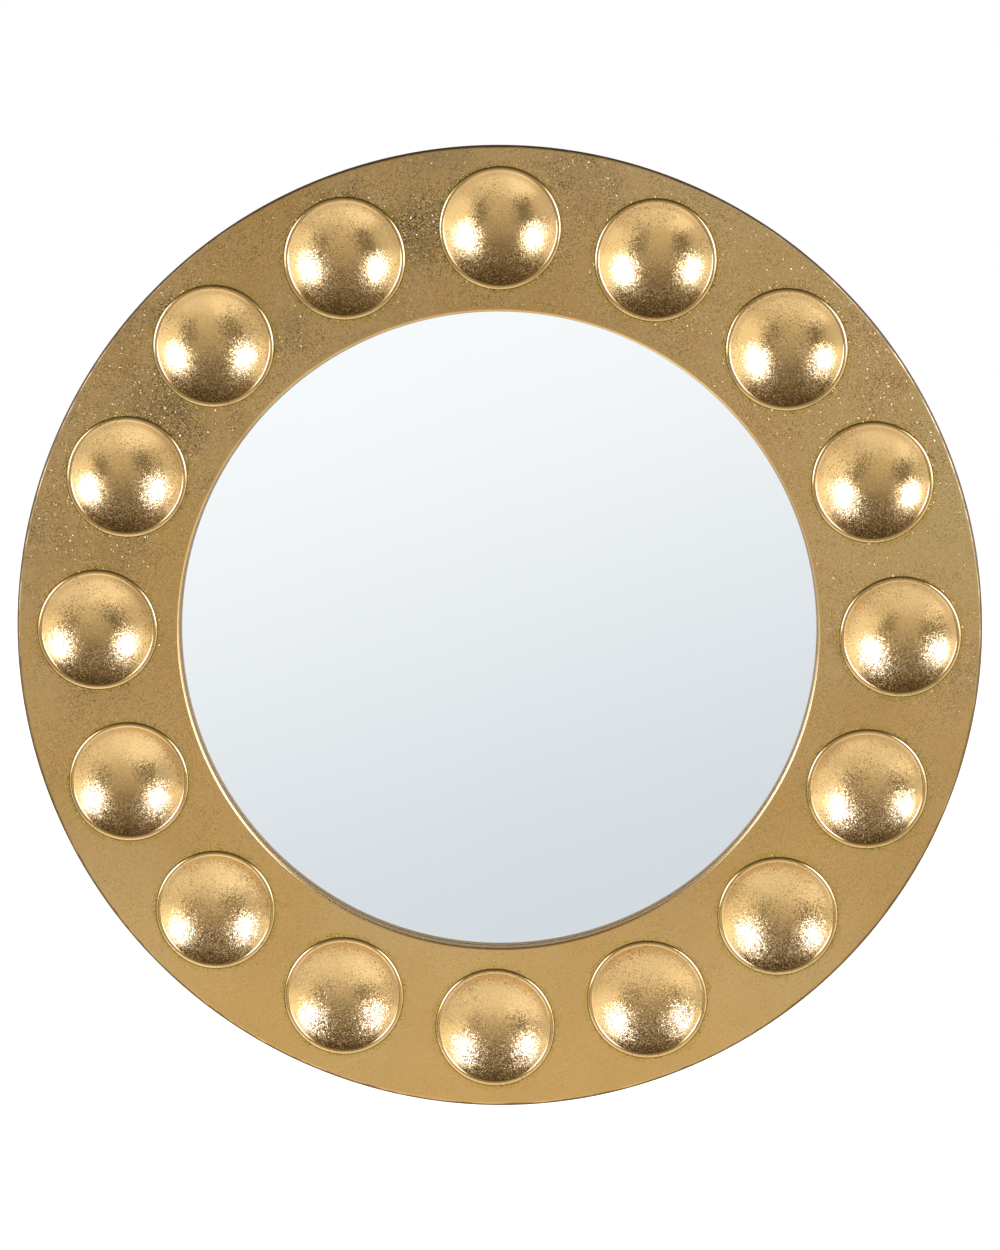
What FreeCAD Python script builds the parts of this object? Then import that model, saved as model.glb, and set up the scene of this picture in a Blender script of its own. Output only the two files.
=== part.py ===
import FreeCAD, Part
import math
import os

# Round wall mirror: a gilded fibreboard ring, set with dished metal roundels, around a silvered glass.
# Sizes are in millimetres. +X is to the viewer's right, +Z is up and the mirror faces -Y.
# The wall is the plane y = 0, and the origin lies on it behind the centre of the glass.

Vector = FreeCAD.Vector

# Frame ring
OPENING_DIAMETER = 530.0        # edge of the ring around the visible glass
BAND_MARGIN = 17.7              # flat band between a dish's lip and either edge of the ring
OUTER_EDGE_ROUND = 3.0
OPENING_EDGE_ROUND = 2.0
REAR_EDGE_ROUND = 1.0

# Dished roundels
DISH_COUNT = 16
DISH_LIP_DIAMETER = 99.6
DISH_LIP_WIDTH = 3.3            # flat lip, from its edge to the corner of the hollow
DISH_LIP_ROUND = 0.9            # on the lip's outer edge
DISH_DEPTH = 18.4               # from the top of the lip to the bottom of the hollow
DISH_SHEET = 1.2
DISH_POCKET_CLEARANCE = 0.2
GLUE_PAD_DIAMETER = 24.0
GLUE_THICKNESS = 1.0
GLUE_SEAT_GAP = 0.05

# Glass and the layers behind it
GLASS_LIP = 11.0                # thickness of the ring's lip in front of the glass
GASKET_THICKNESS = 1.0
GASKET_WIDTH = 6.0
GLASS_THICKNESS = 4.0
GLASS_COVER = 9.0               # how far the glass reaches behind the lip
GLASS_ARRIS = 0.5
PANEL_THICKNESS = 6.0
PANEL_EDGE_ROUND = 0.8
REBATE_CLEARANCE = 2.0          # around the glass and the panel
REAR_STEP = 5.0                 # depth of the panel below the ring's rear face

# Offset clips that hold the panel in, counted in dish spacings from +X, half-way between dishes
CLIP_SECTORS = (1.5, 3.5, 4.5, 6.5, 9.5, 11.5, 12.5, 14.5)
CLIP_SHEET = 1.2
CLIP_BEND = 0.4                 # inner radius of the bends
CLIP_WIDTH = 16.0
CLIP_TOE = 13.0                 # length that presses on the panel
CLIP_FOOT = 20.0                # length that lies on the ring
CLIP_WALL_GAP = 0.5
CLIP_CORNER_ROUND = 3.0

# Pan-head screws for the clips and the hangers
SCREW_HEAD_DIAMETER = 7.0
SCREW_HEAD_HEIGHT = 2.2
SCREW_HEAD_ROUND = 1.5
SCREW_SHANK_DIAMETER = 3.5
SCREW_DEPTH = 14.0              # how deep the screw goes into the ring
SCREW_TIP = 3.0
SCREW_SLOT_WIDTH = 0.9
SCREW_SLOT_LENGTH = 4.0
SCREW_SLOT_DEPTH = 1.2
PILOT_CLEARANCE = 0.1
SCREW_HOLE_CLEARANCE = 0.4

# Hangers: a folded strap and a swinging ring, half-way between dishes
HANGER_SECTORS = {"left": 5.5, "right": 2.5}
RING_WIRE_DIAMETER = 3.0
RING_CORNER_RADIUS = 3.0        # of the wire's centre line
RING_SIDE_LENGTH = 5.0          # straight side between corner and arch
RING_PIVOT_CLEARANCE = 0.15
RING_STOP_GAP = 0.3             # left between the leaning ring and the frame
STRAP_SHEET = 1.0
STRAP_WIDTH = 16.0
STRAP_END_GAP = 0.5             # from the strap's edge to the ring's bend
STRAP_FOLD_GAP = 0.1            # between the strap's two layers
STRAP_FOLD_RUN = 12.0           # from the pivot to where the outer layer lies flat
STRAP_SCREW_GAP = 1.5           # from the lowered ring to the first screw's head
STRAP_SCREW_PITCH = 12.0
STRAP_END_MARGIN = 7.0
STRAP_CORNER_ROUND = 4.0

# Rubber bumpers that keep the ring off the wall, counted as the clips are
BUMPER_SECTORS = (0.5, 7.5, 10.5, 13.5)
BUMPER_DIAMETER = 18.0
BUMPER_FACE_DIAMETER = 12.0
BUMPER_BASE = 1.5
BUMPER_RELIEF = 0.7             # how far the hangers stay clear of the wall

CUT_OVERRUN = 1.0               # how far a cut starts outside the face it enters

# Radii from the axis through the centre of the glass
OPENING_RADIUS = OPENING_DIAMETER / 2
LIP_RADIUS = DISH_LIP_DIAMETER / 2
BAND_RADIUS = OPENING_RADIUS + BAND_MARGIN + LIP_RADIUS
FRAME_RADIUS = BAND_RADIUS + LIP_RADIUS + BAND_MARGIN
GLASS_RADIUS = OPENING_RADIUS + GLASS_COVER
REBATE_RADIUS = GLASS_RADIUS + REBATE_CLEARANCE
CLIP_STEP_RADIUS = REBATE_RADIUS - CLIP_WALL_GAP
CLIP_SCREW_RADIUS = CLIP_STEP_RADIUS + CLIP_FOOT / 2
SECTOR = 360.0 / DISH_COUNT

# One dish: a spherical hollow with its sheet behind it, whose lip lies on the ring's face
DISH_MOUTH_RADIUS = LIP_RADIUS - DISH_LIP_WIDTH
HOLLOW_RADIUS = (DISH_MOUTH_RADIUS ** 2 + DISH_DEPTH ** 2) / (2 * DISH_DEPTH)
SHELL_RADIUS = HOLLOW_RADIUS + DISH_SHEET
SHELL_MOUTH_RADIUS = math.sqrt(SHELL_RADIUS ** 2 - (SHELL_RADIUS - DISH_DEPTH) ** 2)
POCKET_RADIUS = SHELL_MOUTH_RADIUS + DISH_POCKET_CLEARANCE
POCKET_DEPTH = DISH_DEPTH + GLUE_THICKNESS

# Screw holes
SHANK_RADIUS = SCREW_SHANK_DIAMETER / 2
HEAD_RADIUS = SCREW_HEAD_DIAMETER / 2
PILOT_RADIUS = SHANK_RADIUS + PILOT_CLEARANCE
PILOT_DEPTH = SCREW_DEPTH + PILOT_CLEARANCE
SCREW_HOLE_RADIUS = SHANK_RADIUS + SCREW_HOLE_CLEARANCE

# Hanger sizes that follow from the ring's wire
WIRE_RADIUS = RING_WIRE_DIAMETER / 2
EYE_RADIUS = WIRE_RADIUS + RING_PIVOT_CLEARANCE
EYE_OUTER_RADIUS = EYE_RADIUS + STRAP_SHEET
RING_HALF_BAR = STRAP_WIDTH / 2 + STRAP_END_GAP
RING_HALF_WIDTH = RING_HALF_BAR + RING_CORNER_RADIUS
RING_ARCH_HEIGHT = RING_CORNER_RADIUS + RING_SIDE_LENGTH
RING_REACH = RING_ARCH_HEIGHT + RING_HALF_WIDTH
RING_LEAN = math.asin((EYE_OUTER_RADIUS - WIRE_RADIUS - RING_STOP_GAP) / RING_REACH)
STRAP_TOP = 2 * STRAP_SHEET + STRAP_FOLD_GAP
STRAP_FIRST_SCREW = RING_REACH + WIRE_RADIUS + STRAP_SCREW_GAP + HEAD_RADIUS
STRAP_LENGTH = STRAP_FIRST_SCREW + STRAP_SCREW_PITCH + STRAP_END_MARGIN

# Planes along Y, from the wall to the front
BUMPER_HEIGHT = 2 * EYE_OUTER_RADIUS + BUMPER_RELIEF
FRAME_THICKNESS = GLASS_LIP + GASKET_THICKNESS + GLASS_THICKNESS + PANEL_THICKNESS + REAR_STEP
Y_REAR = -BUMPER_HEIGHT
Y_FRONT = Y_REAR - FRAME_THICKNESS
Y_SHOULDER = Y_FRONT + GLASS_LIP
Y_GLASS = Y_SHOULDER + GASKET_THICKNESS
Y_PANEL = Y_GLASS + GLASS_THICKNESS
Y_PANEL_REAR = Y_PANEL + PANEL_THICKNESS
Y_PIVOT = Y_REAR + EYE_OUTER_RADIUS
Y_POCKET_FLOOR = Y_FRONT + POCKET_DEPTH
Y_LIP = Y_FRONT - DISH_SHEET
Y_HOLLOW_CENTRE = Y_LIP + DISH_DEPTH - HOLLOW_RADIUS

ORIGIN = Vector(0, 0, 0)
AXIS_X = Vector(1, 0, 0)
AXIS_Y = Vector(0, 1, 0)
AXIS_Z = Vector(0, 0, 1)


def polar(radius, degrees, y=0.0):
    """Point on a circle about the Y axis, with the angle counted from +X towards +Z."""
    angle = math.radians(degrees)
    return Vector(radius * math.cos(angle), y, radius * math.sin(angle))


def arc(start, middle, end):
    return Part.Arc(start, middle, end).toShape()


def closed_wire(points):
    """Closed wire of straight edges."""
    return Part.makePolygon(points + points[:1])


def rounded_wire(corners):
    """Closed wire through (point, radius) corners, with each corner rounded to its radius."""
    count = len(corners)
    bends = []
    for index, (point, radius) in enumerate(corners):
        if radius <= 0:
            bends.append((point, None, point))
            continue
        before = corners[index - 1][0] - point
        after = corners[(index + 1) % count][0] - point
        half_angle = before.getAngle(after) / 2
        run = radius / math.tan(half_angle)
        before.normalize()
        after.normalize()
        inward = before + after
        inward.normalize()
        middle = point + inward * (radius / math.sin(half_angle) - radius)
        bends.append((point + before * run, middle, point + after * run))
    edges = []
    for index, (start, middle, end) in enumerate(bends):
        if middle is not None:
            edges.append(arc(start, middle, end))
        edges.append(Part.makeLine(end, bends[(index + 1) % count][0]))
    return Part.Wire(edges)


def turned(wire):
    """Solid of revolution of a closed wire in the XY plane, about the Y axis."""
    return Part.Face(wire).revolve(ORIGIN, AXIS_Y, 360)


def cylinder(radius, start, length):
    """Cylinder along +Y from a start point."""
    return Part.makeCylinder(radius, length, start, AXIS_Y)


def moved(shape, offset):
    copy = shape.copy()
    copy.translate(offset)
    return copy


def dish_centres():
    """Centres of the dishes on the plane of the wall, clockwise from the top as seen from the front."""
    return [polar(BAND_RADIUS, 90.0 - SECTOR * index) for index in range(DISH_COUNT)]


def clip_screw_points():
    """Where the clips' screws enter the ring's rear face."""
    return [polar(CLIP_SCREW_RADIUS, SECTOR * sector, Y_REAR) for sector in CLIP_SECTORS]


def pivot_point(side):
    """Middle of a hanger ring's pivot, placed so that the strap is centred on the band."""
    centre = polar(BAND_RADIUS, SECTOR * HANGER_SECTORS[side])
    return Vector(centre.x, Y_PIVOT, centre.z + STRAP_LENGTH / 2)


def strap_screw_points(pivot):
    """Where a strap's screws enter the ring's rear face, below its pivot."""
    drops = (STRAP_FIRST_SCREW, STRAP_FIRST_SCREW + STRAP_SCREW_PITCH)
    return [Vector(pivot.x, Y_REAR, pivot.z - drop) for drop in drops]


def hanger_screw_points():
    return [point for side in HANGER_SECTORS for point in strap_screw_points(pivot_point(side))]


def bumper_points():
    """Where the bumpers sit on the ring's rear face."""
    return [polar(BAND_RADIUS, SECTOR * sector, Y_REAR) for sector in BUMPER_SECTORS]


def frame_ring():
    """Ring with rounded edges, a rebate behind its lip, a pocket for each dish and pilot holes."""
    ring = turned(rounded_wire([
        (Vector(OPENING_RADIUS, Y_FRONT, 0), OPENING_EDGE_ROUND),
        (Vector(OPENING_RADIUS, Y_SHOULDER, 0), 0),
        (Vector(REBATE_RADIUS, Y_SHOULDER, 0), 0),
        (Vector(REBATE_RADIUS, Y_REAR, 0), REAR_EDGE_ROUND),
        (Vector(FRAME_RADIUS, Y_REAR, 0), REAR_EDGE_ROUND),
        (Vector(FRAME_RADIUS, Y_FRONT, 0), OUTER_EDGE_ROUND),
    ]))
    cuts = []
    for centre in dish_centres():
        start = centre + AXIS_Y * (Y_FRONT - CUT_OVERRUN)
        cuts.append(cylinder(POCKET_RADIUS, start, POCKET_DEPTH + CUT_OVERRUN))
    for point in clip_screw_points() + hanger_screw_points():
        cuts.append(cylinder(PILOT_RADIUS, point - AXIS_Y * PILOT_DEPTH, PILOT_DEPTH + CUT_OVERRUN))
    return ring.cut(cuts)


def on_sphere(radius, angle):
    """Point in the XY plane on a sphere about a dish's centre of curvature, with the angle from +Y."""
    return Vector(radius * math.sin(angle), Y_HOLLOW_CENTRE + radius * math.cos(angle), 0)


def dish():
    """Spun dish about the Y axis: a flat lip, bent over the pocket's edge into a spherical hollow."""
    bend_angle = math.asin(SHELL_MOUTH_RADIUS / SHELL_RADIUS)
    seat_edge = Vector(LIP_RADIUS, Y_FRONT, 0)
    edge_centre = Vector(LIP_RADIUS - DISH_LIP_ROUND, Y_LIP + DISH_LIP_ROUND, 0)
    edge_side = edge_centre + AXIS_X * DISH_LIP_ROUND
    edge_middle = edge_centre + Vector(1, -1, 0).normalize() * DISH_LIP_ROUND
    edge_top = edge_centre - AXIS_Y * DISH_LIP_ROUND
    # The sheet turns about its own rear corner, where the lip leaves the ring's face.
    corner = Vector(SHELL_MOUTH_RADIUS, Y_FRONT, 0)
    bend_top = corner - AXIS_Y * DISH_SHEET
    bend_middle = corner - Vector(math.sin(bend_angle / 2), math.cos(bend_angle / 2), 0) * DISH_SHEET
    hollow_edge = on_sphere(HOLLOW_RADIUS, bend_angle)
    hollow_pole = on_sphere(HOLLOW_RADIUS, 0)
    shell_pole = on_sphere(SHELL_RADIUS, 0)
    return turned(Part.Wire([
        Part.makeLine(seat_edge, edge_side),
        arc(edge_side, edge_middle, edge_top),
        Part.makeLine(edge_top, bend_top),
        arc(bend_top, bend_middle, hollow_edge),
        arc(hollow_edge, on_sphere(HOLLOW_RADIUS, bend_angle / 2), hollow_pole),
        Part.makeLine(hollow_pole, shell_pole),
        arc(shell_pole, on_sphere(SHELL_RADIUS, bend_angle / 2), corner),
        Part.makeLine(corner, seat_edge),
    ]))


def glue_pad():
    """Adhesive between a dish's back and the floor of its pocket, about the Y axis."""
    seat_radius = SHELL_RADIUS + GLUE_SEAT_GAP
    edge_angle = math.asin(GLUE_PAD_DIAMETER / 2 / seat_radius)
    pole = on_sphere(seat_radius, 0)
    edge = on_sphere(seat_radius, edge_angle)
    floor_middle = Vector(0, Y_POCKET_FLOOR, 0)
    floor_edge = Vector(edge.x, Y_POCKET_FLOOR, 0)
    return turned(Part.Wire([
        arc(pole, on_sphere(seat_radius, edge_angle / 2), edge),
        Part.makeLine(edge, floor_edge),
        Part.makeLine(floor_edge, floor_middle),
        Part.makeLine(floor_middle, pole),
    ]))


def rims_of(disc):
    return [edge for edge in disc.Edges if isinstance(edge.Curve, Part.Circle)]


def mirror_glass():
    """Silvered glass disc with ground arrises."""
    glass = cylinder(GLASS_RADIUS, Vector(0, Y_GLASS, 0), GLASS_THICKNESS)
    return glass.makeChamfer(GLASS_ARRIS, rims_of(glass))


def glass_gasket():
    """Foam tape between the ring's lip and the face of the glass."""
    outer_radius = GLASS_RADIUS - GLASS_ARRIS
    start = Vector(0, Y_SHOULDER, 0)
    tape = cylinder(outer_radius, start, GASKET_THICKNESS)
    return tape.cut(cylinder(outer_radius - GASKET_WIDTH, start, GASKET_THICKNESS))


def backing_panel():
    """Board behind the glass, with its edges eased."""
    panel = cylinder(GLASS_RADIUS, Vector(0, Y_PANEL, 0), PANEL_THICKNESS)
    return panel.makeFillet(PANEL_EDGE_ROUND, rims_of(panel))


def panel_clip():
    """Offset clip along +X: a toe on the panel, a step at the rebate and a foot on the ring."""
    toe_end = CLIP_STEP_RADIUS - CLIP_TOE
    foot_end = CLIP_STEP_RADIUS + CLIP_FOOT
    step_back = CLIP_STEP_RADIUS - CLIP_SHEET
    outer_bend = CLIP_BEND + CLIP_SHEET
    half_width = CLIP_WIDTH / 2
    section = rounded_wire([
        (Vector(toe_end, Y_PANEL_REAR, -half_width), 0),
        (Vector(CLIP_STEP_RADIUS, Y_PANEL_REAR, -half_width), outer_bend),
        (Vector(CLIP_STEP_RADIUS, Y_REAR, -half_width), CLIP_BEND),
        (Vector(foot_end, Y_REAR, -half_width), 0),
        (Vector(foot_end, Y_REAR + CLIP_SHEET, -half_width), 0),
        (Vector(step_back, Y_REAR + CLIP_SHEET, -half_width), outer_bend),
        (Vector(step_back, Y_PANEL_REAR + CLIP_SHEET, -half_width), CLIP_BEND),
        (Vector(toe_end, Y_PANEL_REAR + CLIP_SHEET, -half_width), 0),
    ])
    plan = rounded_wire([
        (Vector(toe_end, Y_PANEL_REAR, -half_width), CLIP_CORNER_ROUND),
        (Vector(foot_end, Y_PANEL_REAR, -half_width), CLIP_CORNER_ROUND),
        (Vector(foot_end, Y_PANEL_REAR, half_width), CLIP_CORNER_ROUND),
        (Vector(toe_end, Y_PANEL_REAR, half_width), CLIP_CORNER_ROUND),
    ])
    bent = Part.Face(section).extrude(AXIS_Z * CLIP_WIDTH)
    clip = bent.common(Part.Face(plan).extrude(AXIS_Y * (REAR_STEP + CLIP_SHEET)))
    return clip.cut(cylinder(SCREW_HOLE_RADIUS, Vector(CLIP_SCREW_RADIUS, Y_REAR, 0), CLIP_SHEET))


def pan_screw(grip):
    """Pan-head screw that clamps a sheet of the given grip and enters the ring at the origin along -Y."""
    head_top = grip + SCREW_HEAD_HEIGHT
    body = turned(rounded_wire([
        (Vector(0, -SCREW_DEPTH, 0), 0),
        (Vector(SHANK_RADIUS, SCREW_TIP - SCREW_DEPTH, 0), 0),
        (Vector(SHANK_RADIUS, grip, 0), 0),
        (Vector(HEAD_RADIUS, grip, 0), 0),
        (Vector(HEAD_RADIUS, head_top, 0), SCREW_HEAD_ROUND),
        (Vector(0, head_top, 0), 0),
    ]))
    slots = []
    for width, height in ((SCREW_SLOT_LENGTH, SCREW_SLOT_WIDTH), (SCREW_SLOT_WIDTH, SCREW_SLOT_LENGTH)):
        corner = Vector(-width / 2, head_top - SCREW_SLOT_DEPTH, -height / 2)
        slots.append(Part.makeBox(width, SCREW_SLOT_DEPTH + CUT_OVERRUN, height, corner))
    return body.cut(slots)


def hanger_strap(pivot):
    """Strap folded around the ring's straight bar, running down from the pivot on the ring's rear face."""
    left = pivot.x - STRAP_WIDTH / 2
    right = pivot.x + STRAP_WIDTH / 2
    bottom = pivot.z - STRAP_LENGTH
    top = pivot.z + EYE_OUTER_RADIUS + CUT_OVERRUN

    def at(rise, height):
        """Point on the strap's left edge: rise above the pivot and height off the ring's rear face."""
        return Vector(left, Y_REAR + height, pivot.z + rise)

    def on_eye(radius, angle):
        """Point around the pivot, with the angle counted from +Z towards +Y."""
        return at(radius * math.cos(angle), EYE_OUTER_RADIUS + radius * math.sin(angle))

    # The outer layer leaves the eye along its tangent, and lies flat from the end of the fold's run.
    fall = EYE_OUTER_RADIUS - STRAP_TOP
    slope = math.asin(EYE_OUTER_RADIUS / math.hypot(STRAP_FOLD_RUN, fall)) + math.atan2(fall, STRAP_FOLD_RUN)
    leave = math.pi / 2 + slope
    middle = slope / 2
    inner_run = STRAP_FOLD_RUN - STRAP_SHEET * math.tan(slope / 2)
    outer_layer = Part.makePolygon([
        on_eye(EYE_OUTER_RADIUS, leave),
        at(-STRAP_FOLD_RUN, STRAP_TOP),
        at(-STRAP_LENGTH, STRAP_TOP),
        at(-STRAP_LENGTH, STRAP_TOP - STRAP_SHEET),
        at(-inner_run, STRAP_TOP - STRAP_SHEET),
        on_eye(EYE_RADIUS, leave),
    ])
    inner_layer = Part.makePolygon([
        at(0, STRAP_SHEET),
        at(-STRAP_LENGTH, STRAP_SHEET),
        at(-STRAP_LENGTH, 0),
        at(0, 0),
    ])
    section = Part.Wire([
        arc(at(0, 0), on_eye(EYE_OUTER_RADIUS, middle), on_eye(EYE_OUTER_RADIUS, leave)),
        *outer_layer.Edges,
        arc(on_eye(EYE_RADIUS, leave), on_eye(EYE_RADIUS, middle), at(0, STRAP_SHEET)),
        *inner_layer.Edges,
    ])
    plan = rounded_wire([
        (Vector(left, Y_REAR, bottom), STRAP_CORNER_ROUND),
        (Vector(right, Y_REAR, bottom), STRAP_CORNER_ROUND),
        (Vector(right, Y_REAR, top), 0),
        (Vector(left, Y_REAR, top), 0),
    ])
    folded = Part.Face(section).extrude(AXIS_X * STRAP_WIDTH)
    strap = folded.common(Part.Face(plan).extrude(AXIS_Y * BUMPER_HEIGHT))
    return strap.cut([cylinder(SCREW_HOLE_RADIUS, point, STRAP_TOP) for point in strap_screw_points(pivot)])


def wire_section(centre):
    """Round section of the ring's wire, square to Z."""
    return Part.Face(Part.Wire(Part.makeCircle(WIRE_RADIUS, centre, AXIS_Z)))


def hanger_ring(pivot):
    """D-shaped wire ring in its strap, leaning on the frame as it does when the mirror hangs."""
    bar = Part.makeCylinder(WIRE_RADIUS, 2 * RING_HALF_BAR, Vector(-RING_HALF_BAR, 0, 0), AXIS_X)
    arch_centre = Vector(0, 0, RING_ARCH_HEIGHT)
    arch = wire_section(arch_centre + AXIS_X * RING_HALF_WIDTH).revolve(arch_centre, AXIS_Y, -180)
    bends = [arch]
    for side in (-1, 1):
        foot = Vector(side * RING_HALF_WIDTH, 0, RING_CORNER_RADIUS)
        bend_centre = Vector(side * RING_HALF_BAR, 0, RING_CORNER_RADIUS)
        bends.append(Part.makeCylinder(WIRE_RADIUS, RING_SIDE_LENGTH, foot, AXIS_Z))
        bends.append(wire_section(foot).revolve(bend_centre, AXIS_Y, side * 90))
    ring = bar.multiFuse(bends).removeSplitter()
    ring.rotate(ORIGIN, AXIS_X, math.degrees(RING_LEAN))
    ring.translate(pivot)
    return ring


def wall_bumper():
    """Rubber bumper about the Y axis, from the ring's rear face at the origin to the wall."""
    base = BUMPER_DIAMETER / 2
    face = BUMPER_FACE_DIAMETER / 2
    return turned(closed_wire([
        Vector(0, 0, 0),
        Vector(base, 0, 0),
        Vector(base, BUMPER_BASE, 0),
        Vector(face, BUMPER_HEIGHT, 0),
        Vector(0, BUMPER_HEIGHT, 0),
    ]))


def pieces():
    """Every piece by its name; the pieces that are fixed in sets are groups of separate solids."""
    named = {"frame_ring": frame_ring()}
    for index, centre in enumerate(dish_centres()):
        named[f"dish_{index + 1:02d}"] = moved(dish(), centre)
    named["dish_glue_pads"] = Part.makeCompound([moved(glue_pad(), centre) for centre in dish_centres()])
    named["mirror_glass"] = mirror_glass()
    named["glass_gasket"] = glass_gasket()
    named["backing_panel"] = backing_panel()
    for index, sector in enumerate(CLIP_SECTORS):
        clip = panel_clip()
        clip.rotate(ORIGIN, AXIS_Y, -SECTOR * sector)
        named[f"panel_clip_{index + 1}"] = clip
    clip_screws = [moved(pan_screw(CLIP_SHEET), point) for point in clip_screw_points()]
    named["panel_clip_screws"] = Part.makeCompound(clip_screws)
    for side in HANGER_SECTORS:
        named[f"hanger_strap_{side}"] = hanger_strap(pivot_point(side))
        named[f"hanger_ring_{side}"] = hanger_ring(pivot_point(side))
    hanger_screws = [moved(pan_screw(STRAP_TOP), point) for point in hanger_screw_points()]
    named["hanger_screws"] = Part.makeCompound(hanger_screws)
    for index, point in enumerate(bumper_points()):
        named[f"wall_bumper_{index + 1}"] = moved(wall_bumper(), point)
    return named


def main():
    os.makedirs("parts", exist_ok=True)
    for name, shape in pieces().items():
        shape.exportStep(f"parts/{name}.step")


if __name__ == "__main__":
    main()
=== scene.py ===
import math
from collections import namedtuple

import bmesh
import bpy
from mathutils import Matrix, Vector


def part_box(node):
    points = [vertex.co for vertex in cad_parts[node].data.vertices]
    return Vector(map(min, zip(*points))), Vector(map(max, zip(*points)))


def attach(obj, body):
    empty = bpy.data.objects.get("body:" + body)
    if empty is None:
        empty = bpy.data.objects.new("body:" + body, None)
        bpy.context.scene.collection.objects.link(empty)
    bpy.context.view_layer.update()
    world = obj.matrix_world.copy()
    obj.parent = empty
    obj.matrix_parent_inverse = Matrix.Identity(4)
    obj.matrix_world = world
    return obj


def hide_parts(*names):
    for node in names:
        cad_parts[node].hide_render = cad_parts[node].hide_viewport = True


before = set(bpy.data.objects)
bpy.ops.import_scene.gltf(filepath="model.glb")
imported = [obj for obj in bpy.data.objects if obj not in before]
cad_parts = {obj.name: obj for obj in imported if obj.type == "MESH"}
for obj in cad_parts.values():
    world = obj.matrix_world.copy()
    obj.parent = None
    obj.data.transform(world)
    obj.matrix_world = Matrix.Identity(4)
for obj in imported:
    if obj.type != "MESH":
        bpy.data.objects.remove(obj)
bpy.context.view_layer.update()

# Round wall mirror with a gilded ring and sixteen gilded dishes. Metres; the mirror faces -Y and +Z is up.

# Ring
RING_FACE_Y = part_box("frame_ring")[0][1]
RING_BACK_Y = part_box("frame_ring")[1][1]
RING_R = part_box("frame_ring")[1][2]
OPENING_R = 0.265
REBATE_R = 0.276
GLASS_RECESS = 0.011
SHOULDER_Y = RING_FACE_Y + GLASS_RECESS
OUTER_ROUND = 0.003
OPENING_ROUND = 0.002
BACK_ROUND = 0.001

# Screw holes in the ring's back
PILOT_R = 0.00185
PILOT_DEPTH = 0.0141
CLIP_SCREW_CIRCLE_R = 0.2855
CLIP_SECTORS = (1.5, 3.5, 4.5, 6.5, 9.5, 11.5, 12.5, 14.5)
STRAP_SCREW_RISES = (0.007, 0.019)

# Dishes, each in a pocket of the ring
DISH_COUNT = 16
SECTOR = 360.0 / DISH_COUNT
DISH_CIRCLE_R = 0.3325
LIP_R = 0.0498
LIP_WIDTH = 0.0033
LIP_CROWN_R = 0.0028
DISH_SHEET = 0.0012
DISH_DEPTH = 0.0184
GLUE_THICKNESS = 0.001
POCKET_CLEARANCE = 0.0002
LIP_Y = RING_FACE_Y - DISH_SHEET
MOUTH_R = LIP_R - LIP_WIDTH
HOLLOW_R = (MOUTH_R ** 2 + DISH_DEPTH ** 2) / (2 * DISH_DEPTH)
SHELL_R = HOLLOW_R + DISH_SHEET
SHELL_MOUTH_R = math.sqrt(SHELL_R ** 2 - (SHELL_R - DISH_DEPTH) ** 2)
HOLLOW_CENTRE_Y = LIP_Y + DISH_DEPTH - HOLLOW_R
POCKET_R = SHELL_MOUTH_R + POCKET_CLEARANCE
POCKET_DEPTH = DISH_DEPTH + GLUE_THICKNESS

# Fineness of the meshes: steps around a piece and along the arcs of its section
RING_STEPS = 384
DISH_STEPS = 144
POCKET_STEPS = 96
PILOT_STEPS = 24
OPENING_ROUND_STEPS = 8
OUTER_ROUND_STEPS = 10
BACK_ROUND_STEPS = 5
CROWN_STEPS = 16
HOLLOW_STEPS = 44
SHELL_STEPS = 14
SHARP_ANGLE = math.radians(35)
MERGE_DISTANCE = 1e-6
DRILL_OVERRUN = 0.001

# Studio: softboxes by their direction from the mirror in degrees, a card behind the camera, a floor
Softbox = namedtuple("Softbox", "side azimuth elevation distance width height")
SOFTBOXES = (Softbox("left", -50.4, 14.7, 8.9, 4.3, 5.1), Softbox("right", 47.9, 17.2, 5.2, 2.9, 3.5))
SOFTBOX_RADIANCE = 6.0
FILL_AZIMUTH, FILL_ELEVATION = 160, 35
FILL_DISTANCE, FILL_WIDTH, FILL_HEIGHT = 4.0, 3.0, 2.0
FILL_RADIANCE = 1.6
CARD_Y = -2.9
CARD_LEFT, CARD_RIGHT = -0.72, 0.57
CARD_LOW, CARD_HIGH = -0.93, 0.34
FLOOR_Z = -1.0
FLOOR_REACH = 14.0

# Camera: its place, its turn in degrees about Z, X and Y, and its focal length in pixels of the photograph
CAMERA_PLACE = (0.0623, RING_FACE_Y - 2.3574, 0.2404)
CAMERA_SWING, CAMERA_DIP, CAMERA_ROLL = 1.467, -5.656, -0.355
FOCAL_PIXELS, PHOTO_HEIGHT_PIXELS = 2863.2, 1250.0
SENSOR_HEIGHT = 36.0
CLIP_END = 100.0

WHITE = (1.0, 1.0, 1.0)


def around(radius, degrees, y=0.0):
    """Point on a circle about the Y axis, with the angle counted from +X towards +Z."""
    angle = math.radians(degrees)
    return Vector((radius * math.cos(angle), y, radius * math.sin(angle)))


def towards(azimuth, elevation):
    """Direction from the mirror, with the azimuth counted from straight ahead to the right."""
    az, el = math.radians(azimuth), math.radians(elevation)
    return Vector((math.sin(az) * math.cos(el), -math.cos(az) * math.cos(el), math.sin(el)))


DISH_CENTRES = [around(DISH_CIRCLE_R, 90.0 - SECTOR * index) for index in range(DISH_COUNT)]


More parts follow.
